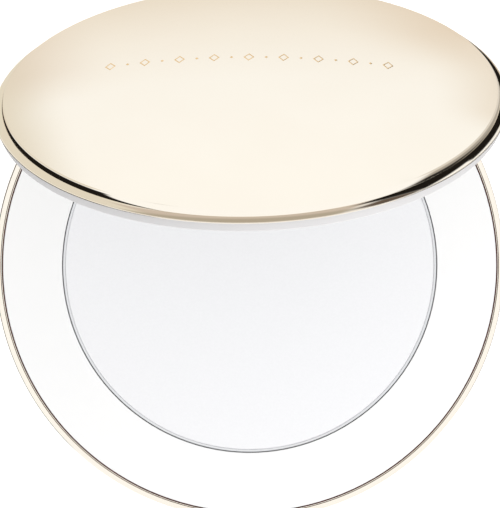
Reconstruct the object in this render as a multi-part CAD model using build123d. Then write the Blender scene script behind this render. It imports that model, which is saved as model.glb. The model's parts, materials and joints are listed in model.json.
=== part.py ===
from build123d import *
import math
import os

# Round powder compact: a weighted base that holds a powder pan, and a domed lid with a mirror inside.
# Millimetres, +Z up. The origin is the centre of the flat foot face that the compact rests on.
# The hinge is at the back (+Y), and the lid stands open at LID_OPEN degrees from closed.

# ---- driving dimensions ----
OUTER_R = 40.0              # outer radius of both metal shells
DECK_Z = 8.6                # height of the deck, the top face of the base
SHELL_T = 0.6               # thickness of the drawn brass sheet
STEP_R = 38.8               # radius where the domes meet their sloping brims
BRIM_H = 0.6                # rise of the brim across its width
BRIM_CROWN = 6.0            # the brim's slope changes by twice this from its inside to its edge, degrees
BRIM_ROUND = 0.15           # rounding at the brim's outer edge, across
BRIM_ROUND_H = 0.09         # and along Z
LID_SHOULDER_R = 1.15       # rounding between the lid's dome and its brim
LID_SHOULDER_SLOPE = 38.0   # slope at which that rounding starts, past a fine crease, degrees
BASE_SHOULDER_R = 1.0
LID_DOME_SLOPE = 15.0       # dome angle at the crease, degrees
BASE_DOME_SLOPE = 43.0
INNER_BEND = 0.2            # the lid's dome ends this much sooner on its inside, degrees
FOOT_R = 28.0               # flat under the base shell
FOOT_STEP = 0.3             # how far the foot pad stands below the shell
FOOT_PAD_R = 26.0

RING_GAP = 0.05             # air left between the closed lid ring and the deck
RING_H = 1.85               # white ring that shows below the lid's metal brim
BRIM_EDGE_T = 0.05          # the lid brim's edge stands this much below the ring's top
RING_R = 39.4

PAN_R = 29.36               # powder pan, outside
PAN_WALL = 0.35
PAN_FLOOR_Z = 3.9
PAN_BEND = 0.6              # corner between the pan's floor and wall
CAKE_DROP = 0.04            # powder below the pan's lip
CAKE_EDGE = 0.1
WELL_R = 29.5               # opening in the deck
DECK_R = 38.8
DECK_T = 1.1
DECK_EDGE = 0.08            # broken edges of the deck
RIM_GAP = 0.12              # dark hairline between the deck and the metal rim
RIM_ROUND = 0.3             # outer rounding of the base rim
GROOVE_R = 39.15            # fine turned groove on top of the rim
GROOVE_W = 0.1
GROOVE_D = 0.2

MIRROR_R = 35.4
MIRROR_T = 1.5
MIRROR_Z = DECK_Z + 0.85    # mirror face, with the lid closed
TAPE_T = 0.15
TAPE_R = 33.0
MIRROR_BEVEL = 0.3
SEAT_ROOM = 0.1             # room around the mirror in its seat
PLATE_T = 0.7               # plate behind the mirror
RING_EDGE = 0.25            # broken edges of the white ring
FIT_GAP = 0.05              # room between the white ring and the metal dome

HINGE_Y = 42.4
HINGE_Z = DECK_Z - 0.2
BARREL_R = 1.7
PIN_R = 0.6
PIN_CLEARANCE = 0.03
SLEEVE_T = 0.3              # wall of the friction sleeve in the lid's knuckle
LID_KNUCKLE_HALF = 3.5
WASHER_T = 0.35
END_PLAY = 0.02
BARREL_HALF = 7.0
KNUCKLE_ROOM = 0.35         # room in the base leaf behind the lid's knuckle
WASHER_INSET = 0.2          # washers below the barrel's surface
SLIT_W = 0.2                # slit along the friction sleeve
LEAF_T = 0.8
BASE_LEAF_IN = 33.0         # inner end of the base leaf
LID_LEAF_IN = 35.75         # inner end of the lid leaf
WINDOW_ROOM = 0.15          # room around the base leaf in the shell's window
LID_OPEN = 65.0             # lid angle from closed, as modelled

SCREW_R = 0.7
SCREW_HEAD_R = 1.2
SCREW_HEAD_H = 0.5
SCREW_POINT_R = 0.28        # end of the screw's tapered point
SCREW_POINT_H = 0.3
SLOT_W = 0.3                # screwdriver slot
SLOT_D = 0.25
THREAD_CLEARANCE = 0.02
BASE_SCREW_X = 4.6
BASE_SCREW_Y = 36.0
LID_SCREW_X = 2.0
LID_SCREW_Y = 37.2

WEIGHT_T = 1.3              # steel disc on the shell's floor
WEIGHT_HOLE_R = 2.0
WEIGHT_R = 27.0
FLOOR_T = 0.9               # floor of the moulded tray
FLOOR_EDGE_R = 33.0
FLOOR_RISE = 0.4            # the floor climbs this much towards the outer wall
WALL_OUT = 35.2             # outer wall of the tray
WALL_IN = 34.0
WALL_FOOT_DROP = 1.4        # the wall's foot below the hinge boss
WELL_WALL = 1.2             # wall round the pan
SEAT_OUT = 27.95            # raised ring under the pan
SEAT_IN = 24.45
BOSS_LOW = 4.8              # underside of the hinge boss
BOSS_OUT = 37.0
BOSS_LAP = 0.5              # how far boss and tray run into each other
LEAF_SIDE_ROOM = 0.1
LEAF_END_ROOM = 0.6
SHELF_LIFT = 0.4            # magnet shelf above the boss's underside
PAN_MAGNET_R = 10.0

MAGNET_LENGTH = 8.0
MAGNET_WIDTH = 1.8
MAGNET_T = 1.2
MAGNET_ANGLE = 12.0         # each magnet's angle from the front
MAGNET_RADIUS = 36.8
LID_MAGNET_LIFT = 0.8       # lid magnets above the ring's face
POCKET_GROW = 0.05

MARK_COUNT = 17             # engraved row across the dome
MARK_Y = 4.0                # the row's middle, towards the hinge
MARK_TURN = -5.3            # the row's angle to the hinge axis, degrees
MARK_PITCH = 2.7
MARK_HEIGHT = 2.6
MARK_WIDTH = 1.7
MARK_LINE = 0.24
MARK_DEPTH = 0.1

# ---- sizes that follow ----
RIM_IN = DECK_R + RIM_GAP
BAND_IN = OUTER_R - SHELL_T
STEP_IN = STEP_R - SHELL_T
LID_EDGE_Z = DECK_Z + RING_H
LID_STEP_Z = LID_EDGE_Z + BRIM_H
UNDER_DECK = DECK_Z - DECK_T
LEAF_LOW = HINGE_Z - BARREL_R               # base leaf, under the deck
LID_LEAF_TOP = HINGE_Z + BARREL_R           # lid leaf, under the lid's brim
LID_LEAF_LOW = LID_LEAF_TOP - LEAF_T
WEIGHT_TOP = FOOT_STEP + SHELL_T + WEIGHT_T
FRAME_FLOOR_TOP = WEIGHT_TOP + FLOOR_T
BASE_SCREW_TIP = BOSS_LOW + 0.1
LID_SCREW_TIP = LID_EDGE_Z + 0.5
RING_FACE_Z = DECK_Z + RING_GAP
LID_MAGNET_Z = RING_FACE_Z + LID_MAGNET_LIFT


def dome_numbers(slope, shoulder_slope, flat_r, shoulder_r):
    """A dome's radius, and the height of dome and rounding together."""
    angle = math.radians(slope)
    shoulder_angle = math.radians(shoulder_slope)
    edge_r = STEP_R - shoulder_r * (1 - math.sin(shoulder_angle))
    radius = (edge_r - flat_r) / math.sin(angle)
    return radius, radius * (1 - math.cos(angle)) + shoulder_r * math.cos(shoulder_angle)


LID_DOME_R, LID_DOME_H = dome_numbers(LID_DOME_SLOPE, LID_SHOULDER_SLOPE, 0.0, LID_SHOULDER_R)
APEX_Z = LID_STEP_Z + LID_DOME_H
BASE_DOME_R, BASE_DOME_H = dome_numbers(BASE_DOME_SLOPE, BASE_DOME_SLOPE, FOOT_R, BASE_SHOULDER_R)
BASE_STEP_Z = FOOT_STEP + BASE_DOME_H
BASE_BAND_Z = BASE_STEP_Z + BRIM_H


def arc_point(center_r, center_z, radius, degrees):
    """Point (r, z) on a circle; 0 degrees is outward and 90 degrees is up."""
    angle = math.radians(degrees)
    return (center_r + radius * math.cos(angle), center_z + radius * math.sin(angle))


def arc(center_r, center_z, radius, start, end):
    """Circular edge from one angle to another."""
    points = [arc_point(center_r, center_z, radius, a) for a in (start, (start + end) / 2, end)]
    return ThreePointArc(*points)


def brim(edge_z, up):
    """Brim's section from the dome to the outer edge: a slightly crowned slope, then a small rounding.
    up is 1 on the lid, whose dome stands above its brim, and -1 on the base."""
    corner = (OUTER_R - BRIM_ROUND, edge_z + up * BRIM_ROUND_H)
    middle = (OUTER_R - BRIM_ROUND / 3, edge_z + up * BRIM_ROUND_H * 2 / 3)
    across = corner[0] - STEP_R
    fall = BRIM_H - BRIM_ROUND_H
    crown = math.tan(math.radians(BRIM_CROWN) / 2) / 2
    top = (STEP_R + across / 2 + fall * crown, edge_z + up * (BRIM_H - fall / 2 + across * crown))
    slope = ThreePointArc((STEP_R, edge_z + up * BRIM_H), top, corner)
    return slope, ThreePointArc(corner, middle, (OUTER_R, edge_z))


def line(*points):
    return Polyline(*points) if len(points) > 2 else Line(*points)


def turned(*outline):
    """Solid of revolution about Z of a closed outline of (r, z) lines and arcs."""
    edges = [edge for piece in outline for edge in piece.edges()]
    return revolve(Plane.XZ * make_face(edges), Axis.Z)


def turned_polygon(*points):
    return turned(line(*points, points[0]))


def disc(radius, z_low, z_high):
    upright = (Align.CENTER, Align.CENTER, Align.MIN)
    return Pos(0, 0, z_low) * Cylinder(radius, z_high - z_low, align=upright)


def block(x_low, x_high, y_low, y_high, z_low, z_high):
    size = (x_high - x_low, y_high - y_low, z_high - z_low)
    return Pos(x_low, y_low, z_low) * Box(*size, align=(Align.MIN, Align.MIN, Align.MIN))


def rod(radius, x_low, x_high, y=HINGE_Y, z=HINGE_Z):
    """Cylinder along X, on the hinge axis unless said otherwise."""
    body = Cylinder(radius, x_high - x_low, align=(Align.CENTER, Align.CENTER, Align.MIN))
    return Pos(x_low, y, z) * Rot(0, 90, 0) * body


def at_front(shape, angle):
    """Turn a shape made at the front centre (-Y) about Z."""
    return Rot(0, 0, angle) * shape


def make_base_shell():
    """Drawn brass dish: flat foot, domed underside, brim, upright band and rolled-in rim."""
    dome_z = FOOT_STEP + BASE_DOME_R
    round_r = STEP_R - BASE_SHOULDER_R
    edge = BASE_DOME_SLOPE - 90
    rim_top = DECK_Z - RIM_ROUND
    inner_edge = (BAND_IN, BASE_BAND_Z + SHELL_T / 2)
    outer = [
        line((0, FOOT_STEP), (FOOT_R, FOOT_STEP)),
        arc(FOOT_R, dome_z, BASE_DOME_R, -90, edge),
        arc(round_r, BASE_STEP_Z, BASE_SHOULDER_R, edge, 0),
        *brim(BASE_BAND_Z, -1),
        line((OUTER_R, BASE_BAND_Z), (OUTER_R, rim_top)),
        arc(OUTER_R - RIM_ROUND, rim_top, RIM_ROUND, 0, 90),
        line((OUTER_R - RIM_ROUND, DECK_Z), (GROOVE_R + GROOVE_W / 2, DECK_Z),
             (GROOVE_R + GROOVE_W / 2, DECK_Z - GROOVE_D), (GROOVE_R - GROOVE_W / 2, DECK_Z - GROOVE_D),
             (GROOVE_R - GROOVE_W / 2, DECK_Z), (RIM_IN, DECK_Z),
             (RIM_IN, DECK_Z - DECK_T), (BAND_IN, DECK_Z - DECK_T - SHELL_T / 2), inner_edge,
             (STEP_IN, inner_edge[1]), (STEP_IN, BASE_STEP_Z)),
        arc(round_r, BASE_STEP_Z, BASE_SHOULDER_R - SHELL_T, 0, edge),
        arc(FOOT_R, dome_z, BASE_DOME_R - SHELL_T, edge, -90),
        line((FOOT_R, FOOT_STEP + SHELL_T), (0, FOOT_STEP + SHELL_T), (0, FOOT_STEP)),
    ]
    shell = turned(*outer)
    window_half = BARREL_HALF + WINDOW_ROOM
    window = block(-window_half, window_half, STEP_IN - 1, OUTER_R + 1,
                   LEAF_LOW - WINDOW_ROOM, LEAF_LOW + LEAF_T + WINDOW_ROOM)
    return shell - window


def make_base_frame():
    """Moulded tray: floor, pan well wall, outer wall, hinge boss and two magnet shelves."""
    well_out = WELL_R + WELL_WALL
    tray = turned_polygon((0, WEIGHT_TOP), (FLOOR_EDGE_R, WEIGHT_TOP), (WALL_OUT, BOSS_LOW - WALL_FOOT_DROP),
                          (WALL_OUT, UNDER_DECK), (WALL_IN, UNDER_DECK),
                          (WALL_IN, FRAME_FLOOR_TOP + FLOOR_RISE), (well_out, FRAME_FLOOR_TOP),
                          (well_out, UNDER_DECK), (WELL_R, UNDER_DECK), (WELL_R, FRAME_FLOOR_TOP),
                          (0, FRAME_FLOOR_TOP))
    seat = disc(SEAT_OUT, FRAME_FLOOR_TOP, PAN_FLOOR_Z) - disc(SEAT_IN, 0, DECK_Z)
    boss = block(-BARREL_HALF, BARREL_HALF, WALL_IN - BOSS_LAP, BOSS_OUT, BOSS_LOW, LEAF_LOW)
    tray = tray + seat + boss
    shelf = block(-MAGNET_LENGTH / 2, MAGNET_LENGTH / 2, -MAGNET_RADIUS - MAGNET_WIDTH / 2,
                  -WALL_IN, BOSS_LOW + SHELF_LIFT, UNDER_DECK - MAGNET_T)
    for angle in (-MAGNET_ANGLE, MAGNET_ANGLE):
        tray = tray + at_front(shelf, angle)
    room_half = BARREL_HALF + LEAF_SIDE_ROOM
    tray = tray - block(-room_half, room_half, BASE_LEAF_IN - LEAF_END_ROOM, OUTER_R, LEAF_LOW, DECK_Z)
    for x in (-BASE_SCREW_X, BASE_SCREW_X):
        tray = tray - Pos(x, BASE_SCREW_Y, 0) * disc(SCREW_R + THREAD_CLEARANCE, BOSS_LOW - 1, DECK_Z)
    return tray


def make_deck():
    """White collar round the pan, flush with the rim."""
    return turned_polygon((WELL_R, UNDER_DECK), (DECK_R, UNDER_DECK), (DECK_R, DECK_Z - DECK_EDGE),
                          (DECK_R - DECK_EDGE, DECK_Z), (WELL_R + DECK_EDGE, DECK_Z),
                          (WELL_R, DECK_Z - DECK_EDGE))


def make_pan():
    """Pressed aluminium dish, its lip flush with the deck."""
    inner = PAN_R - PAN_WALL
    bend_r = PAN_R - PAN_BEND
    bend_z = PAN_FLOOR_Z + PAN_BEND
    return turned_polygon((0, PAN_FLOOR_Z), (bend_r, PAN_FLOOR_Z), (PAN_R, bend_z), (PAN_R, DECK_Z),
                          (inner, DECK_Z), (inner, bend_z), (bend_r, PAN_FLOOR_Z + PAN_WALL),
                          (0, PAN_FLOOR_Z + PAN_WALL))


def make_cake():
    """Pressed powder, filling the pan to just under its lip."""
    inner = PAN_R - PAN_WALL
    top = DECK_Z - CAKE_DROP
    return turned_polygon((0, PAN_FLOOR_Z + PAN_WALL), (PAN_R - PAN_BEND, PAN_FLOOR_Z + PAN_WALL),
                          (inner, PAN_FLOOR_Z + PAN_BEND), (inner, top - CAKE_EDGE),
                          (inner - CAKE_EDGE, top), (0, top))


def magnets(z_low):
    """Two bar magnets at the front, either side of the middle."""
    bar = block(-MAGNET_LENGTH / 2, MAGNET_LENGTH / 2, -MAGNET_RADIUS - MAGNET_WIDTH / 2,
                -MAGNET_RADIUS + MAGNET_WIDTH / 2, z_low, z_low + MAGNET_T)
    return at_front(bar, -MAGNET_ANGLE) + at_front(bar, MAGNET_ANGLE)


def placed_screw(shape, x, y, z_head, z_tip):
    """Stand a screw, made with its point at the origin, on its tip, head up or head down."""
    turn = Rot(0, 0, 0) if z_head > z_tip else Rot(180, 0, 0)
    return Pos(x, y, z_tip) * turn * shape


def screw(x, y, z_head, z_tip):
    """Countersunk screw with a straight slot; the head is at z_head and the tip at z_tip."""
    length = abs(z_head - z_tip)
    body = turned_polygon((0, 0), (SCREW_POINT_R, 0), (SCREW_R, SCREW_POINT_H),
                          (SCREW_R, length - SCREW_HEAD_H), (SCREW_HEAD_R, length), (0, length))
    slot = block(-SLOT_W / 2, SLOT_W / 2, -SCREW_HEAD_R, SCREW_HEAD_R, length - SLOT_D, length + 1)
    return placed_screw(body - slot, x, y, z_head, z_tip)


def screw_pair(x, y, z_head, z_tip):
    return screw(-x, y, z_head, z_tip) + screw(x, y, z_head, z_tip)


def screw_room(x, y, z_head, z_tip):
    """Clearance for a countersunk screw in a leaf."""
    length = abs(z_head - z_tip)
    shank = SCREW_R + THREAD_CLEARANCE
    head = SCREW_HEAD_R + THREAD_CLEARANCE
    room = turned_polygon((0, -1), (shank, -1), (shank, length - SCREW_HEAD_H), (head, length),
                          (head, length + 1), (0, length + 1))
    return placed_screw(room, x, y, z_head, z_tip)


def make_base_leaf():
    """Brass leaf under the deck, with the two outer knuckles of the barrel."""
    leaf = block(-BARREL_HALF, BARREL_HALF, BASE_LEAF_IN, HINGE_Y, LEAF_LOW, LEAF_LOW + LEAF_T)
    leaf = leaf + rod(BARREL_R, -BARREL_HALF, BARREL_HALF)
    middle = LID_KNUCKLE_HALF + WASHER_T + 2 * END_PLAY
    gap_in = HINGE_Y - BARREL_R - KNUCKLE_ROOM
    leaf = leaf - block(-middle, middle, gap_in, HINGE_Y + 2 * BARREL_R, 0, 2 * DECK_Z)
    leaf = leaf - rod(PIN_R, -BARREL_HALF - 1, BARREL_HALF + 1)
    for x in (-BASE_SCREW_X, BASE_SCREW_X):
        leaf = leaf - screw_room(x, BASE_SCREW_Y, LEAF_LOW + LEAF_T, BASE_SCREW_TIP)
    return leaf


def make_lid_leaf():
    """Brass leaf in the lid ring, with the middle knuckle of the barrel."""
    half = LID_KNUCKLE_HALF
    leaf = block(-half, half, LID_LEAF_IN, HINGE_Y, LID_LEAF_LOW, LID_LEAF_TOP)
    leaf = leaf + rod(BARREL_R, -half, half)
    leaf = leaf - rod(PIN_R + PIN_CLEARANCE + SLEEVE_T, -half - 1, half + 1)
    for x in (-LID_SCREW_X, LID_SCREW_X):
        leaf = leaf - screw_room(x, LID_SCREW_Y, LID_LEAF_LOW, LID_SCREW_TIP)
    return leaf


def make_friction_sleeve():
    """Split spring sleeve, fixed in the lid's knuckle, that grips the pin."""
    half = LID_KNUCKLE_HALF
    inner = PIN_R + PIN_CLEARANCE
    tube = rod(inner + SLEEVE_T, -half, half) - rod(inner, -half - 1, half + 1)
    slit = block(-half, half, HINGE_Y - SLIT_W / 2, HINGE_Y + SLIT_W / 2, HINGE_Z, HINGE_Z + BARREL_R)
    return tube - slit


def make_washers():
    """Thin nylon washer either side of the lid's knuckle."""
    low = LID_KNUCKLE_HALF + END_PLAY
    right = rod(BARREL_R - WASHER_INSET, low, low + WASHER_T)
    left = rod(BARREL_R - WASHER_INSET, -low - WASHER_T, -low)
    return right + left - rod(PIN_R, -BARREL_HALF, BARREL_HALF)


def lozenge(width, height):
    points = [(width / 2, 0), (0, height / 2), (-width / 2, 0), (0, -height / 2)]
    return make_face(Polyline(*points, points[0]))


def engraved_marks():
    """Row of small outlined lozenges and dots, cut MARK_DEPTH into the dome."""
    inside_mark = lozenge(MARK_WIDTH - 2 * MARK_LINE, MARK_HEIGHT - 3 * MARK_LINE)
    outline = lozenge(MARK_WIDTH, MARK_HEIGHT) - inside_mark
    dot = lozenge(2 * MARK_LINE, 3 * MARK_LINE)
    row = Sketch()
    for i in range(MARK_COUNT):
        x = (i - (MARK_COUNT - 1) / 2) * MARK_PITCH
        row = row + Pos(x, 0) * (dot if i % 2 else outline)
    placed = Pos(0, MARK_Y, LID_STEP_Z) * Rot(0, 0, MARK_TURN) * row
    prisms = extrude(placed, 2 * (APEX_Z - LID_STEP_Z))
    inside = Pos(0, 0, APEX_Z - LID_DOME_R) * Sphere(LID_DOME_R - MARK_DEPTH)
    return prisms - inside


def make_lid_shell():
    """Drawn brass dome with a fine crease, a rounded shoulder and a sloping brim."""
    center_z = APEX_Z - LID_DOME_R
    edge = 90 - LID_DOME_SLOPE
    under = LID_EDGE_Z - BRIM_EDGE_T
    dome_in = arc(0, center_z, LID_DOME_R - SHELL_T, edge + INNER_BEND, 90)
    outline = [
        arc(0, center_z, LID_DOME_R, 90, edge),
        arc(STEP_R - LID_SHOULDER_R, LID_STEP_Z, LID_SHOULDER_R, 90 - LID_SHOULDER_SLOPE, 0),
        *brim(LID_EDGE_Z, 1),
        line((OUTER_R, LID_EDGE_Z), (OUTER_R, under), (STEP_IN, under), (STEP_IN, LID_STEP_Z + SHELL_T / 4),
             arc_point(0, center_z, LID_DOME_R - SHELL_T, edge + INNER_BEND)),
        dome_in,
        line((0, APEX_Z - SHELL_T), (0, APEX_Z)),
    ]
    return turned(*outline) - engraved_marks()


def make_lid_frame():
    """White moulded ring: it shows below the brim, seats the mirror and carries magnets and leaf."""
    seat_r = MIRROR_R + SEAT_ROOM
    under_edge = LID_EDGE_Z - BRIM_EDGE_T
    neck_r = STEP_IN - FIT_GAP
    neck_top = LID_STEP_Z - FIT_GAP
    plate_low = MIRROR_Z + MIRROR_T + TAPE_T
    plate_top = plate_low + PLATE_T
    ring = turned_polygon((0, plate_low), (seat_r, plate_low), (seat_r, RING_FACE_Z + RING_EDGE),
                          (seat_r + RING_EDGE, RING_FACE_Z), (RING_R - RING_EDGE, RING_FACE_Z),
                          (RING_R, RING_FACE_Z + RING_EDGE), (RING_R, under_edge), (neck_r, under_edge),
                          (neck_r, neck_top), (seat_r + RING_EDGE, neck_top), (seat_r, plate_top),
                          (0, plate_top))
    half = LID_KNUCKLE_HALF + LEAF_SIDE_ROOM
    ring = ring - block(-half, half, LID_LEAF_IN - LEAF_SIDE_ROOM, OUTER_R, 0, LID_LEAF_TOP)
    for x in (-LID_SCREW_X, LID_SCREW_X):
        hole = disc(SCREW_R + THREAD_CLEARANCE, LID_LEAF_LOW, LID_SCREW_TIP + FIT_GAP)
        ring = ring - Pos(x, LID_SCREW_Y, 0) * hole
    pocket_half = MAGNET_LENGTH / 2 + POCKET_GROW
    pocket_depth = MAGNET_WIDTH / 2 + POCKET_GROW
    pocket = block(-pocket_half, pocket_half, -MAGNET_RADIUS - pocket_depth,
                   -MAGNET_RADIUS + pocket_depth, LID_MAGNET_Z, APEX_Z)
    for angle in (-MAGNET_ANGLE, MAGNET_ANGLE):
        ring = ring - at_front(pocket, angle)
    return ring


def make_mirror():
    """Round glass mirror with a fine bevel at its front edge."""
    top = MIRROR_Z + MIRROR_T
    return turned_polygon((0, MIRROR_Z), (MIRROR_R - MIRROR_BEVEL, MIRROR_Z),
                          (MIRROR_R, MIRROR_Z + MIRROR_BEVEL), (MIRROR_R, top), (0, top))


def opened(shape):
    """Turn a lid part from its closed place to its open place about the hinge."""
    axis = Axis((0, HINGE_Y, HINGE_Z), (-1, 0, 0))
    return shape.rotate(axis, LID_OPEN)


base_parts = {
    "base_shell": make_base_shell(),
    "foot_pad": disc(FOOT_PAD_R, 0, FOOT_STEP),
    "weight_plate": disc(WEIGHT_R, FOOT_STEP + SHELL_T, WEIGHT_TOP) - disc(WEIGHT_HOLE_R, 0, DECK_Z),
    "base_frame": make_base_frame(),
    "base_magnets": magnets(UNDER_DECK - MAGNET_T),
    "pan_magnet": disc(PAN_MAGNET_R, FRAME_FLOOR_TOP, PAN_FLOOR_Z),
    "powder_pan": make_pan(),
    "powder_cake": make_cake(),
    "base_deck": make_deck(),
    "base_hinge_leaf": make_base_leaf(),
    "base_hinge_screws": screw_pair(BASE_SCREW_X, BASE_SCREW_Y, LEAF_LOW + LEAF_T, BASE_SCREW_TIP),
    "hinge_pin": rod(PIN_R, -BARREL_HALF, BARREL_HALF),
    "hinge_washers": make_washers(),
}
lid_parts = {
    "lid_shell": make_lid_shell(),
    "lid_frame": make_lid_frame(),
    "mirror": make_mirror(),
    "mirror_tape": disc(TAPE_R, MIRROR_Z + MIRROR_T, MIRROR_Z + MIRROR_T + TAPE_T),
    "lid_magnets": magnets(LID_MAGNET_Z),
    "lid_hinge_leaf": make_lid_leaf(),
    "lid_hinge_screws": screw_pair(LID_SCREW_X, LID_SCREW_Y, LID_LEAF_LOW, LID_SCREW_TIP),
    "friction_sleeve": make_friction_sleeve(),
}

os.makedirs("parts", exist_ok=True)
for name, shape in base_parts.items():
    export_step(shape, f"parts/{name}.step")
for name, shape in lid_parts.items():
    export_step(opened(shape), f"parts/{name}.step")
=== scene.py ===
import json
import math

import bmesh
import bpy
import numpy as np
from mathutils import Matrix, Vector


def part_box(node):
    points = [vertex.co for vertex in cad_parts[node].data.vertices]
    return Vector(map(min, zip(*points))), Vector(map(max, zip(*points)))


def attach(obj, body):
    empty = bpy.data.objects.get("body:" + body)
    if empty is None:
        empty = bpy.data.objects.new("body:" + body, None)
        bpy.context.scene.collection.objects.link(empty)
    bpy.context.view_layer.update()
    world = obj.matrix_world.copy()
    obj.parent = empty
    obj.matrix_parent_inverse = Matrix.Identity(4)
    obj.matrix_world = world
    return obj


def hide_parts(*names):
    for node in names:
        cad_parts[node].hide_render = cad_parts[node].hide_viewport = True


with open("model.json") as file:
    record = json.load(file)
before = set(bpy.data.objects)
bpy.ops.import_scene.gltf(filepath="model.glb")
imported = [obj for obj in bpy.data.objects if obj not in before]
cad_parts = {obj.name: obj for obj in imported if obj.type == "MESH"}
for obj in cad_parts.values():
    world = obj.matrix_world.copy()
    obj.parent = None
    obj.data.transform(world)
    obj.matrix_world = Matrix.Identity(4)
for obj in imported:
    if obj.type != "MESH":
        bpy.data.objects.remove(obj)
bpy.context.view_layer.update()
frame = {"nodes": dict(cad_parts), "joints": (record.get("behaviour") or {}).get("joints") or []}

# ---- Gold base shell ----
# A drawn brass dish, polished and plated pale gold: flat foot, domed underside, sloping brim, an
# upright band and a rolled-in rim with one fine turned groove. A slot lets the hinge leaf out.
MM = 0.001
hinge = frame["joints"][0]
LID_OPEN = -hinge["range_deg"][0]           # the lid's angle from closed, as it stands
HINGE_POINT = np.array(hinge["pos_m"])
OUTER_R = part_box("base_shell")[1].x
DECK_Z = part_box("base_shell")[1].z
DECK_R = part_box("base_deck")[1].x
FOOT_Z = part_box("base_shell")[0].z
FOOT_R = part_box("foot_pad")[1].x + 2 * MM
SHELL_T = 0.6 * MM
BRIM_H = 0.6 * MM                           # rise of the brim across its width
BRIM_CROWN = 6                              # half the change of slope across the brim, in degrees
BRIM_ROUND = 0.15 * MM                      # rounding at the brim's edge, across and along Z
BRIM_ROUND_H = 0.09 * MM
RIM_ROUND = 0.14 * MM
STEP_R = DECK_R                             # radius where the domes meet their brims
COLUMNS = 240                               # steps round every turned piece
CRISP_ANGLE = 18                            # edges of a turned piece that bend more stay crisp, degrees
BASE_SLOPE = 43                             # slope where the base dome ends, in degrees
BASE_SHOULDER_R = 1.0 * MM
BASE_STEPS = 30                             # points along the base dome


def arc_points(center_r, center_z, radius_r, radius_z, start, end, count):
    """Points (r, z) on an ellipse: centre plus each radius times cosine and sine of the angle."""
    angle = np.radians(np.linspace(start, end, count))
    return np.stack([center_r + radius_r * np.cos(angle), center_z + radius_z * np.sin(angle)], 1)


def brim_points(edge_z, up, count=9):
    """A brim's section from the dome to the outer edge: a shallow arc whose slope grows by twice
    BRIM_CROWN, then a quarter ellipse. up is 1 on the lid, whose dome stands above its brim, and -1
    on the base."""
    across, fall = OUTER_R - BRIM_ROUND - STEP_R, BRIM_H - BRIM_ROUND_H
    middle = 90 - math.degrees(math.atan2(fall, across))
    radius = math.hypot(across, fall) / 2 / math.sin(math.radians(BRIM_CROWN))
    crown = arc_points(0, 0, radius, up * radius, middle + BRIM_CROWN, middle - BRIM_CROWN, 12)
    crown += np.array([STEP_R, edge_z + up * BRIM_H]) - crown[0]
    corner = arc_points(OUTER_R - BRIM_ROUND, edge_z, BRIM_ROUND, up * BRIM_ROUND_H, 90, 0, count)
    return np.concatenate([crown, corner[1:]])


def dome_points(slope, start, shoulder_r, flat_r, flat_z, up, count):
    """A dome and its rounded shoulder: one large arc that falls away from flat_r until it slopes by
    the given angle, then an arc of shoulder_r that turns from the start angle on to upright at
    STEP_R. up is 1 for a dome that closes upwards and -1 for one that closes downwards. The points
    run outwards."""
    edge_r = STEP_R - shoulder_r * (1 - math.sin(math.radians(start)))
    radius = (edge_r - flat_r) / math.sin(math.radians(slope))
    dome = arc_points(flat_r, flat_z - up * radius, radius, up * radius, 90, 90 - slope, count)
    shoulder = arc_points(STEP_R - shoulder_r, 0, shoulder_r, up * shoulder_r, 90 - start, 0, 20)
    shoulder[:, 1] += dome[-1, 1] - shoulder[0, 1]
    return np.concatenate([dome, shoulder[1:]])


def mesh_object(name, points, faces):
    """A smooth-shaded object from an array of points and an array of faces."""
    mesh = bpy.data.meshes.new(name)
    mesh.from_pydata(points.tolist(), [], faces.tolist())
    mesh.polygons.foreach_set("use_smooth", np.ones(len(mesh.polygons), bool))
    mesh.update()
    piece = bpy.data.objects.new(name, mesh)
    bpy.context.scene.collection.objects.link(piece)
    return piece


def turned_grid(profile, columns=COLUMNS):
    """Points of a profile (r, z) turned about Z: x = r cos a, y = r sin a, one ring per point."""
    turn = np.arange(columns) * (2 * np.pi / columns)
    r, z = profile[:, :1], profile[:, 1:]
    return np.stack([r * np.cos(turn), r * np.sin(turn), z + 0 * turn], 2)


def grid_faces(rows, columns=COLUMNS):
    """Quads between each ring and the next, closed round the turn, as [row, column, corner]."""
    row, column = np.meshgrid(np.arange(rows - 1), np.arange(columns), indexing="ij")
    beside = (column + 1) % columns
    corners = [row * columns + column, row * columns + beside,
               (row + 1) * columns + beside, (row + 1) * columns + column]
    return np.stack(corners, 2)


def turned_piece(name, profile, keep=None, outward=True):
    """A turned surface. A profile that starts at r = 0 has its first ring merged into one pole."""
    points = turned_grid(profile)
    faces = grid_faces(len(profile))
    if not outward:
        faces = faces[:, :, ::-1]
    if keep is not None:
        faces = faces[keep]
    piece = mesh_object(name, points.reshape(-1, 3), faces.reshape(-1, 4))
    weld(piece)
    piece.data.set_sharp_from_angle(angle=math.radians(CRISP_ANGLE))
    return piece


def weld(piece, distance=1e-7):
    """Merges points that lie together, which closes poles and seams."""
    work = bmesh.new()
    work.from_mesh(piece.data)
    bmesh.ops.remove_doubles(work, verts=work.verts, dist=distance)
    bmesh.ops.dissolve_degenerate(work, edges=work.edges, dist=distance)
    work.to_mesh(piece.data)
    work.free()


def thicken(piece, thickness):
    """Gives a sheet its wall, on the inside."""
    wall = piece.modifiers.new("wall", "SOLIDIFY")
    wall.thickness = thickness
    wall.offset = -1
    wall.use_even_offset = True


def new_material(name):
    """An empty material: its node tree, its shader and its Object coordinates."""
    material = bpy.data.materials.new(name)
    material.use_nodes = True
    tree = material.node_tree
    shader = tree.nodes["Principled BSDF"]
    place = tree.nodes.new("ShaderNodeTexCoord").outputs["Object"]
    return material, tree, shader, place


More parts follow.
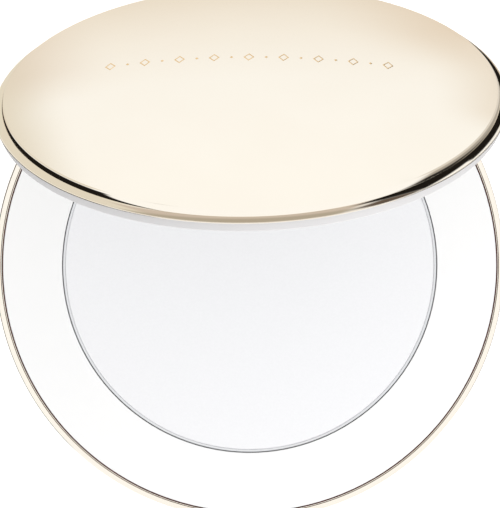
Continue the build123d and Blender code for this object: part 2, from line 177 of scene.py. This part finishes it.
def noise(tree, place, per_metre, detail=4.0, roughness=0.55):
    """Noise with that many waves per metre."""
    node = tree.nodes.new("ShaderNodeTexNoise")
    node.inputs["Scale"].default_value = per_metre
    node.inputs["Detail"].default_value = detail
    node.inputs["Roughness"].default_value = roughness
    tree.links.new(place, node.inputs["Vector"])
    return node.outputs["Fac"]


def ramp(tree, value, *stops):
    """A colour or grey ramp: stops are (position, colour), where a single number is a grey."""
    node = tree.nodes.new("ShaderNodeValToRGB")
    while len(node.color_ramp.elements) < len(stops):
        node.color_ramp.elements.new(0.5)
    for element, (position, colour) in zip(node.color_ramp.elements, stops):
        element.position = position
        element.color = (colour,) * 3 + (1,) if isinstance(colour, float) else tuple(colour) + (1,)
    tree.links.new(value, node.inputs["Fac"])
    return node.outputs["Color"]


def bump(tree, shader, value, distance, strength=0.5):
    """Raises the surface by a value, over any bump that the shader has already."""
    node = tree.nodes.new("ShaderNodeBump")
    node.inputs["Distance"].default_value = distance
    node.inputs["Strength"].default_value = strength
    tree.links.new(value, node.inputs["Height"])
    before = shader.inputs["Normal"].links
    if before:
        tree.links.new(before[0].from_socket, node.inputs["Normal"])
    tree.links.new(node.outputs["Normal"], shader.inputs["Normal"])


def gold_material():
    """Polished pale gold plating: faint colour drift, handling haze and hairline wipe marks."""
    material, tree, shader, place = new_material("pale_gold_plating")
    shader.inputs["Metallic"].default_value = 1.0
    tone = ramp(tree, noise(tree, place, 60, 2.0), (0.3, (0.945, 0.885, 0.785)), (0.7, (0.955, 0.90, 0.805)))
    tree.links.new(tone, shader.inputs["Base Color"])
    haze = ramp(tree, noise(tree, place, 130, 5.0), (0.35, 0.045), (0.75, 0.075))
    tree.links.new(haze, shader.inputs["Roughness"])
    wipe = tree.nodes.new("ShaderNodeMapping")
    wipe.inputs["Scale"].default_value = (1, 9, 1)
    wipe.inputs["Rotation"].default_value = (0.3, 0.2, 0.5)
    tree.links.new(place, wipe.inputs["Vector"])
    bump(tree, shader, noise(tree, wipe.outputs["Vector"], 900, 3.0), 0.000002, 0.06)
    return material


gold = gold_material()

def crevice_painted_shade_material():
    """Painted shade at the bottom of the rim's groove and gap: a dull, dark red-brown that stands in for the
    shade and red inter-reflection deep in the gold, redder and darker than outside.
    """
    material, tree, shader, place = new_material("gold_crevice_painted_shade")
    shader.inputs["Specular IOR Level"].default_value = 0.05
    tone = ramp(tree, noise(tree, place, 400, 3.0), (0.3, (0.10, 0.018, 0.012)), (0.7, (0.14, 0.026, 0.018)))
    tree.links.new(tone, shader.inputs["Base Color"])
    shader.inputs["Roughness"].default_value = 0.5
    return material


base_dome = dome_points(BASE_SLOPE, BASE_SLOPE, BASE_SHOULDER_R, FOOT_R, FOOT_Z, -1, BASE_STEPS)
band_z = base_dome[-1, 1] + BRIM_H
window_room, window_height = 0.15 * MM, 1.1 * MM
leaf_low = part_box("base_hinge_leaf")[0].z - window_room
leaf_high = leaf_low + window_height
rim_gap, gap_depth = 0.2 * MM, 0.35 * MM    # a hairline gap stays between the deck and the rim
rim_in, gap_z = DECK_R + rim_gap, DECK_Z - gap_depth
groove_in, groove_out, groove_z = 39.1 * MM, 39.2 * MM, DECK_Z - 0.2 * MM
edge_break = 0.02 * MM
brim = brim_points(band_z, -1)
band = np.array([(OUTER_R, leaf_low), (OUTER_R, leaf_high)])
rim = arc_points(OUTER_R - RIM_ROUND, DECK_Z - RIM_ROUND, RIM_ROUND, RIM_ROUND, 0, 90, 12)
lip = np.array([(groove_out + edge_break, DECK_Z), (groove_out, DECK_Z - edge_break), (groove_out, groove_z),
                (groove_in, groove_z), (groove_in, DECK_Z - edge_break), (groove_in - edge_break, DECK_Z),
                (rim_in + edge_break, DECK_Z), (rim_in, DECK_Z - edge_break), (rim_in, gap_z),
                (DECK_R, gap_z)])
base_profile = np.concatenate([[(0, FOOT_Z)], base_dome, brim, band, rim, lip])
slot_row = 1 + len(base_dome) + len(brim)
keep = np.ones((len(base_profile) - 1, COLUMNS), bool)
leaf_angle = math.degrees(math.asin(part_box("base_hinge_leaf")[1].x / OUTER_R))
slot_half = math.ceil(leaf_angle / 360 * COLUMNS)
back = COLUMNS // 4                         # the column that faces +Y
keep[slot_row, back - slot_half:back + slot_half] = False
base_shell = turned_piece("gold_base_shell", base_profile, keep)
thicken(base_shell, SHELL_T / 10)            # thin, so that it stays clear of the groove's walls
base_shell.data.materials.append(gold)
base_shell.data.materials.append(crevice_painted_shade_material())
middles = np.empty(len(base_shell.data.polygons) * 3)
base_shell.data.polygons.foreach_get("center", middles)
middles = middles.reshape(-1, 3)
middle_r = np.hypot(middles[:, 0], middles[:, 1])
in_gap = (middles[:, 2] > gap_z - edge_break) & (middle_r < rim_in + edge_break / 4)
in_groove = (middles[:, 2] > groove_z - edge_break) & (middles[:, 2] < DECK_Z - edge_break) \
    & (middle_r > groove_in - edge_break / 4) & (middle_r < groove_out + edge_break / 4)
# The gap and groove faces take the second material, the painted crevice shade; the rest stay gold.
base_shell.data.polygons.foreach_set("material_index", (in_gap | in_groove).astype(np.int32))
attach(base_shell, "base")
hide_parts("base_shell")

# ---- White deck ----
# The collar round the powder: an injection-moulded ring, lacquered gloss white, glued into the rim
# so that its face is flush with it.


def lacquer_material():
    """Gloss white lacquer: a trace of warm and cool drift, faint orange peel, soft clear coat."""
    material, tree, shader, place = new_material("white_lacquer")
    tone = ramp(tree, noise(tree, place, 35, 2.0), (0.3, (0.87, 0.87, 0.87)), (0.7, (0.88, 0.875, 0.87)))
    tree.links.new(tone, shader.inputs["Base Color"])
    shine = ramp(tree, noise(tree, place, 220, 4.0), (0.3, 0.2), (0.8, 0.28))
    tree.links.new(shine, shader.inputs["Roughness"])
    shader.inputs["Specular IOR Level"].default_value = 0.4
    shader.inputs["Coat Weight"].default_value = 0.25
    shader.inputs["Coat Roughness"].default_value = 0.08
    bump(tree, shader, noise(tree, place, 1300, 2.0), 0.000004, 0.08)
    return material


lacquer = lacquer_material()


def finish_node(name, material, bevel=0.0):
    """A CAD node that stays: its faces joined, its small edges rounded, and its own material."""
    node = frame["nodes"][name]
    node.data.materials.clear()
    node.data.materials.append(material)
    node.data.polygons.foreach_set("use_smooth", np.ones(len(node.data.polygons), bool))
    joined = node.modifiers.new("joined", "WELD")
    joined.merge_threshold = 1e-6
    if bevel:
        rounded = node.modifiers.new("rounded", "BEVEL")
        rounded.width = bevel
        rounded.segments = 2
        rounded.limit_method = "ANGLE"
        rounded.angle_limit = math.radians(40)
        rounded.harden_normals = False
    crisp = node.modifiers.new("crisp", "EDGE_SPLIT")
    crisp.split_angle = math.radians(30)


finish_node("base_deck", lacquer)

# ---- Powder pan and pressed powder ----
# A pressed aluminium dish, whose lip shows as a thin grey circle, filled flush with smooth pressed
# translucent powder. A magnet under it holds it in the well.


def powder_material():
    """Pressed powder: fine grain in colour and relief, faintly blue-white, with a soft sheen."""
    material, tree, shader, place = new_material("pressed_powder")
    grain = noise(tree, place, 3200, 3.0)
    tone = ramp(tree, grain, (0.3, (0.815, 0.815, 0.83)), (0.7, (0.835, 0.835, 0.85)))
    tree.links.new(tone, shader.inputs["Base Color"])
    shader.inputs["Roughness"].default_value = 0.62
    shader.inputs["Sheen Weight"].default_value = 0.15
    shader.inputs["Sheen Roughness"].default_value = 0.5
    bump(tree, shader, grain, 0.00001, 0.12)
    bump(tree, shader, noise(tree, place, 150, 3.0), 0.00003, 0.05)
    return material


def pan_material():
    """Spun aluminium: fine turning rings about the pan's middle."""
    material, tree, shader, place = new_material("pan_aluminium")
    rings = tree.nodes.new("ShaderNodeTexWave")
    rings.wave_type = "RINGS"
    rings.rings_direction = "Z"
    rings.inputs["Scale"].default_value = 900
    rings.inputs["Distortion"].default_value = 1.5
    tree.links.new(place, rings.inputs["Vector"])
    tone = ramp(tree, rings.outputs["Fac"], (0.0, (0.70, 0.71, 0.73)), (1.0, (0.78, 0.79, 0.80)))
    tree.links.new(tone, shader.inputs["Base Color"])
    shader.inputs["Metallic"].default_value = 1.0
    roughness = ramp(tree, rings.outputs["Fac"], (0.0, 0.22), (1.0, 0.32))
    tree.links.new(roughness, shader.inputs["Roughness"])
    return material


finish_node("powder_cake", powder_material())
finish_node("powder_pan", pan_material())

# ---- Gold lid shell ----
# A drawn brass dome in the same plating: a shallow crown, a rounded shoulder and a sloping brim. It
# stands open about the hinge.
LID_EDGE_Z = DECK_Z + 1.85 * MM             # the brim's edge, with the lid closed
lid_slope, lid_start = 15, 38               # slopes either side of the fine crease round the dome
lid_shoulder = 1.15 * MM
lid_steps = 70                              # points along the lid dome
lid_edge_t = 0.05 * MM


def opened(points):
    """Turns points from the closed lid to its open place: about X through the hinge point."""
    angle = math.radians(LID_OPEN)
    y = points[..., 1] - HINGE_POINT[1]
    z = points[..., 2] - HINGE_POINT[2]
    turned = points.copy()
    turned[..., 1] = HINGE_POINT[1] + y * math.cos(angle) + z * math.sin(angle)
    turned[..., 2] = HINGE_POINT[2] - y * math.sin(angle) + z * math.cos(angle)
    return turned


def open_piece(piece):
    """Turns a finished piece's mesh to the open lid's place."""
    points = np.empty(len(piece.data.vertices) * 3)
    piece.data.vertices.foreach_get("co", points)
    piece.data.vertices.foreach_set("co", opened(points.reshape(-1, 3)).ravel())
    piece.data.update()


lid_dome = dome_points(lid_slope, lid_start, lid_shoulder, 0.0, 0.0, 1, lid_steps)
lid_dome[:, 1] += LID_EDGE_Z + BRIM_H - lid_dome[-1, 1]
under_edge = LID_EDGE_Z - lid_edge_t
lid_inside = lid_dome[lid_steps - 1::-1] * (1 - SHELL_T / STEP_R, 1) - (0, SHELL_T)
lid_profile = np.concatenate([lid_dome, brim_points(LID_EDGE_Z, 1)[1:],
                              [(OUTER_R, under_edge), (STEP_R - SHELL_T, under_edge),
                               (STEP_R - SHELL_T, LID_EDGE_Z + BRIM_H)], lid_inside])
lid_shell = turned_piece("gold_lid_shell", lid_profile, outward=False)
open_piece(lid_shell)
lid_shell.data.materials.append(gold)
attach(lid_shell, "lid")
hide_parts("lid_shell")

# ---- Engraved row ----
# A row of small outlined lozenges and dots at the middle of the dome, drawn as low raised lines just proud
# of it. Their warmer, darker gold is painted shade that stands in for engraved grooves.
mark_count, mark_pitch = 17, 2.7 * MM
mark_width, mark_height, mark_line = 1.7 * MM, 2.6 * MM, 0.26 * MM
row_y, row_turn = 4.0 * MM, math.radians(-5.3)
dome_top = lid_dome[0, 1]
dome_radius = lid_dome[lid_steps - 1, 0] / math.sin(math.radians(lid_slope))


def on_dome(flat, lift):
    """Puts points (x, y) on the dome: z = top - R + sqrt(R^2 - x^2 - y^2), plus the lift."""
    drop = dome_radius - np.sqrt(dome_radius ** 2 - (flat ** 2).sum(-1))
    return np.concatenate([flat, (dome_top - drop + lift)[..., None]], -1)


def engraved_marks():
    """Every mark is a burr-edged line round a lozenge: rings of four corners at four sizes, from the
    outer edge over two low crests to the inner edge. A dot is the same, small enough to be full."""
    corners = np.array([(1, 0), (0, 1), (-1, 0), (0, -1)])
    half = np.array([mark_width, mark_height]) / 2
    inset = np.array([0.0, 0.3, 0.7, 1.0]) * mark_line
    lift = np.array([0.002, 0.02, 0.02, 0.002]) * MM
    turn = np.array([(math.cos(row_turn), -math.sin(row_turn)), (math.sin(row_turn), math.cos(row_turn))])
    points, faces = [], []
    for mark in range(mark_count):
        along = (mark - (mark_count - 1) / 2) * mark_pitch
        size = half if mark % 2 == 0 else np.array([1.05, 1.5]) * mark_line
        share = (size - inset[:, None] * (1.0, 1.4)) / size
        rings = np.array([along, 0]) + corners[None] * (size * share)[:, None]
        rings = rings @ turn.T + (0, row_y)
        row, corner = np.meshgrid(np.arange(3), np.arange(4), indexing="ij")
        beside = (corner + 1) % 4
        quads = np.stack([row * 4 + corner, row * 4 + beside, row * 4 + 4 + beside, row * 4 + 4 + corner], 2)
        faces.append(quads.reshape(-1, 4) + 16 * mark)
        points.append(on_dome(rings, lift[:, None] + np.zeros((4, 4))).reshape(-1, 3))
    return np.concatenate(points), np.concatenate(faces)


def engraving_painted_shade_material():
    """Gold on the marks, warmer, darker and duller than the plating: the warm dark colour is painted groove
    shade.
    """
    material, tree, shader, place = new_material("gold_painted_groove_shade")
    shader.inputs["Metallic"].default_value = 1.0
    # Warm dark tone: painted shade of engraved grooves.
    tone = ramp(tree, noise(tree, place, 600, 3.0), (0.3, (0.86, 0.60, 0.30)), (0.7, (0.93, 0.68, 0.38)))
    tree.links.new(tone, shader.inputs["Base Color"])
    roughness = ramp(tree, noise(tree, place, 1800, 3.0), (0.3, 0.22), (0.8, 0.34))
    tree.links.new(roughness, shader.inputs["Roughness"])
    return material


row_points, row_faces = engraved_marks()
engraved_row = mesh_object("engraved_row", row_points, row_faces)
open_piece(engraved_row)
engraved_row.data.polygons.foreach_set("use_smooth", np.zeros(len(row_faces), bool))
engraved_row.data.materials.append(engraving_painted_shade_material())
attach(engraved_row, "lid")

# ---- Lid ring ----
# The white moulded ring inside the lid, coloured a light grey whose darkness is painted shade from under the
# brim. It shows as a band below the metal brim, and it seats the mirror, the magnets and the hinge leaf.


def moulding_painted_shade_material():
    """White moulding in a light grey tone, darker than the white deck, that paints the shade under the gold
    brim; faint flow marks and a fine moulded skin, satin.
    """
    material, tree, shader, place = new_material("white_moulding_painted_shade")
    # Light grey tone: painted shade on a white moulding.
    tone = ramp(tree, noise(tree, place, 90, 3.0), (0.3, (0.615, 0.605, 0.61)), (0.7, (0.635, 0.625, 0.63)))
    tree.links.new(tone, shader.inputs["Base Color"])
    skin = ramp(tree, noise(tree, place, 500, 4.0), (0.3, 0.32), (0.8, 0.42))
    tree.links.new(skin, shader.inputs["Roughness"])
    bump(tree, shader, noise(tree, place, 2500, 2.0), 0.000004, 0.1)
    return material


moulding = moulding_painted_shade_material()
finish_node("lid_frame", moulding)
finish_node("base_frame", moulding)

# ---- Mirror ----
# Silvered float glass with a fine ground bevel, held by double-sided tape.


def mirror_material():
    """Silver behind glass: faint haze from handling."""
    material, tree, shader, place = new_material("mirror_glass")
    shader.inputs["Metallic"].default_value = 1.0
    tone = ramp(tree, noise(tree, place, 50, 2.0), (0.3, (0.86, 0.885, 0.885)), (0.7, (0.88, 0.9, 0.9)))
    tree.links.new(tone, shader.inputs["Base Color"])
    haze = ramp(tree, noise(tree, place, 160, 5.0), (0.4, 0.015), (0.8, 0.04))
    tree.links.new(haze, shader.inputs["Roughness"])
    return material


finish_node("mirror", mirror_material())

# ---- Hinge ----
# A brass barrel of three knuckles in the same gold plating, on two leaves held by small countersunk
# screws. A steel pin, nylon washers and a bronze spring sleeve give the lid its friction.


def metal_material(name, dark, light, rough_low, rough_high, per_metre=700):
    """A plain metal: mottled tone and roughness from one noise."""
    material, tree, shader, place = new_material(name)
    shader.inputs["Metallic"].default_value = 1.0
    grain = noise(tree, place, per_metre, 4.0)
    tree.links.new(ramp(tree, grain, (0.3, dark), (0.7, light)), shader.inputs["Base Color"])
    tree.links.new(ramp(tree, grain, (0.3, rough_low), (0.7, rough_high)), shader.inputs["Roughness"])
    bump(tree, shader, grain, 0.000003, 0.1)
    return material


def soft_material(name, dark, light, roughness, per_metre):
    """A plain non-metal: mottled tone, one roughness and a fine skin."""
    material, tree, shader, place = new_material(name)
    grain = noise(tree, place, per_metre, 4.0)
    tree.links.new(ramp(tree, grain, (0.3, dark), (0.7, light)), shader.inputs["Base Color"])
    shader.inputs["Roughness"].default_value = roughness
    bump(tree, shader, grain, 0.000008, 0.15)
    return material


screw_steel = metal_material("screw_steel", (0.60, 0.56, 0.48), (0.70, 0.65, 0.55), 0.25, 0.4)
pin_steel = metal_material("pin_steel", (0.55, 0.55, 0.56), (0.65, 0.65, 0.66), 0.18, 0.3)
bronze = metal_material("spring_bronze", (0.45, 0.27, 0.13), (0.55, 0.35, 0.18), 0.3, 0.45)
nickel = metal_material("magnet_nickel", (0.58, 0.57, 0.55), (0.68, 0.67, 0.65), 0.2, 0.35)
zinc = metal_material("zinc_plate", (0.42, 0.43, 0.45), (0.55, 0.56, 0.58), 0.35, 0.55, 300)
nylon = soft_material("nylon", (0.72, 0.69, 0.60), (0.80, 0.77, 0.69), 0.45, 900)
tape = soft_material("foam_tape", (0.62, 0.62, 0.60), (0.74, 0.74, 0.72), 0.8, 1500)
silicone = soft_material("foot_silicone", (0.70, 0.68, 0.64), (0.78, 0.76, 0.72), 0.55, 1200)

finish_node("base_hinge_leaf", gold, 0.1 * MM)
finish_node("lid_hinge_leaf", gold, 0.1 * MM)
finish_node("base_hinge_screws", screw_steel)
finish_node("lid_hinge_screws", screw_steel)
finish_node("hinge_pin", pin_steel, 0.08 * MM)
finish_node("hinge_washers", nylon)
finish_node("friction_sleeve", bronze)

# ---- Hidden pieces ----
# The magnets, the zinc-plated steel weight and the foam tape behind the mirror, all glued or
# pressed in place, and the silicone pad under the foot.
for node_name, material in (("base_magnets", nickel), ("lid_magnets", nickel), ("pan_magnet", nickel),
                            ("weight_plate", zinc), ("mirror_tape", tape), ("foot_pad", silicone)):
    finish_node(node_name, material)

# ---- Floor, light and camera ----
# A plain white floor under a small key and a broad fill. Soft-edged dark and cream cards round the
# object show as reflections in the gold, and the camera sees a plain backdrop.
floor_half = 3.0
floor = mesh_object("floor", np.array([(-floor_half, -floor_half, 0), (floor_half, -floor_half, 0),
                                       (floor_half, floor_half, 0), (-floor_half, floor_half, 0)]),
                    np.array([(0, 1, 2, 3)]))
floor_material, _, floor_shader, _ = new_material("studio_floor")
floor_shader.inputs["Base Color"].default_value = (0.93, 0.93, 0.93, 1)
floor_shader.inputs["Roughness"].default_value = 0.9
floor_shader.inputs["Emission Color"].default_value = (1, 1, 1, 1)
floor_shader.inputs["Emission Strength"].default_value = 0.5
floor_shader.inputs["Specular IOR Level"].default_value = 0.1
floor.data.materials.append(floor_material)
floor.visible_glossy = False

world = bpy.data.worlds.new("studio")
bpy.context.scene.world = world
world.use_nodes = True
sky = world.node_tree
towards = sky.nodes.new("ShaderNodeSeparateXYZ")
sky.links.new(sky.nodes.new("ShaderNodeTexCoord").outputs["Generated"], towards.inputs[0])


def sky_math(operation, *values):
    """One step of arithmetic in the world's nodes; each value is a number or an output."""
    node = sky.nodes.new("ShaderNodeMath")
    node.operation = operation
    for socket, value in zip(node.inputs, values):
        if isinstance(value, (int, float)):
            socket.default_value = value
        else:
            sky.links.new(value, socket)
    return node.outputs[0]


azimuth = sky_math("DEGREES", sky_math("ARCTAN2", towards.outputs["X"], towards.outputs["Y"]))
elevation = sky_math("DEGREES", sky_math("ARCSINE", towards.outputs["Z"]))
height = sky_math("MULTIPLY_ADD", elevation, 1 / 180, 0.5)
sky_colour = ramp(sky, height, (0.03, (0.70, 0.60, 0.48)), (0.14, (0.82, 0.75, 0.65)),
                  (0.23, (0.92, 0.89, 0.84)), (0.30, (0.97, 0.97, 0.96)), (0.42, (1.0, 1.0, 0.99)),
                  (0.62, (1.0, 1.0, 1.0)), (0.8, (1.0, 1.0, 1.0)))


def within(value, low, high, soft):
    """1 between low and high, falling smoothly to 0 over soft degrees outside."""
    masks = []
    for edge, inside in ((low - soft, low), (high + soft, high)):
        node = sky.nodes.new("ShaderNodeMapRange")
        node.interpolation_type = "SMOOTHSTEP"
        node.inputs["From Min"].default_value = edge
        node.inputs["From Max"].default_value = inside
        sky.links.new(value, node.inputs["Value"])
        masks.append(node.outputs["Result"])
    return sky_math("MULTIPLY", *masks)


def flag(colour, azimuths, elevations, tone, soft):
    """A soft-edged card of one tone in the surroundings, between two azimuths, in degrees from +Y
    towards +X, and two elevations. Returns the surroundings with the card in them."""
    mask = sky_math("MULTIPLY", within(azimuth, *azimuths, soft), within(elevation, *elevations, soft))
    mix = sky.nodes.new("ShaderNodeMix")
    mix.data_type = "RGBA"
    sky.links.new(mask, mix.inputs["Factor"])
    sky.links.new(colour, mix.inputs[6])
    mix.inputs[7].default_value = tone + (1,)
    return mix.outputs[2]


BLACK = (0.012, 0.010, 0.008)
sky_colour = flag(sky_colour, (22, 60), (-80, -54), (0.76, 0.65, 0.53), 14)
sky_colour = flag(sky_colour, (-60, -20), (-80, -48), (0.68, 0.56, 0.45), 14)
sky_colour = flag(sky_colour, (22, 60), (-50, -34), (0.84, 0.78, 0.70), 7)
sky_colour = flag(sky_colour, (44, 95), (-80, 8), (0.72, 0.68, 0.62), 8)
sky_colour = flag(sky_colour, (72, 95), (-80, 8), (0.40, 0.37, 0.33), 14)
sky_colour = flag(sky_colour, (-54, -17), (-70, 12), (0.76, 0.71, 0.61), 6)
sky_colour = flag(sky_colour, (-17, 15), (1, 28), (0.60, 0.52, 0.45), 4)
sky_colour = flag(sky_colour, (-27, 16), (15, 27), (0.44, 0.39, 0.32), 8)
sky_colour = flag(sky_colour, (21, 30), (6, 14), (0.12, 0.09, 0.07), 4)
sky_colour = flag(sky_colour, (-134, -64), (-85, 22), BLACK, 5)
sky_colour = flag(sky_colour, (22.5, 35), (-72, -14), BLACK, 2)
sky_colour = flag(sky_colour, (16, 31), (-13, 3), BLACK, 3)
sky_colour = flag(sky_colour, (94, 122), (-80, 6), (0.03, 0.027, 0.024), 10)
backdrop = sky.nodes.new("ShaderNodeMix")             # the camera itself sees a plain backdrop
backdrop.data_type = "RGBA"
sky.links.new(sky.nodes.new("ShaderNodeLightPath").outputs["Is Camera Ray"], backdrop.inputs["Factor"])
sky.links.new(sky_colour, backdrop.inputs[6])
backdrop.inputs[7].default_value = (0.95, 0.95, 0.95, 1)
sky.links.new(backdrop.outputs[2], sky.nodes["Background"].inputs["Color"])
sky.nodes["Background"].inputs["Strength"].default_value = 1.05


def soft_light(name, position, size, power):
    """A square area light that points at the object."""
    data = bpy.data.lights.new(name, "AREA")
    data.size = size
    data.energy = power
    light = bpy.data.objects.new(name, data)
    light.location = position
    light.rotation_euler = (Vector((0, 0, 0.02)) - Vector(position)).to_track_quat("-Z", "Y").to_euler()
    light.visible_glossy = False
    light.visible_camera = False
    bpy.context.scene.collection.objects.link(light)


soft_light("key", (0.17, -0.13, 0.10), 0.08, 0.15)
soft_light("fill", (-0.45, -0.50, 0.90), 0.8, 2.1)

camera_data = bpy.data.cameras.new("camera")
camera_data.lens = 1500
camera_data.sensor_width = 36
camera_data.clip_start = 0.1
camera_data.clip_end = 100
camera = bpy.data.objects.new("camera", camera_data)
tilt, yaw, roll = (math.radians(angle) for angle in (2.285, 1.865, 2.51))
facing = Matrix.Rotation(-tilt, 3, "X") @ Matrix.Rotation(-yaw, 3, "Y") @ Matrix.Rotation(-roll, 3, "Z")
offset = Vector((0.041 * MM, 1.777 * MM, 3.328))
camera.matrix_world = Matrix.Translation(Vector((0, 0, DECK_Z)) + facing @ offset) @ facing.to_4x4()
bpy.context.scene.collection.objects.link(camera)
bpy.context.scene.camera = camera
bpy.context.scene.view_settings.view_transform = "Standard"
bpy.context.scene.view_settings.look = "None"
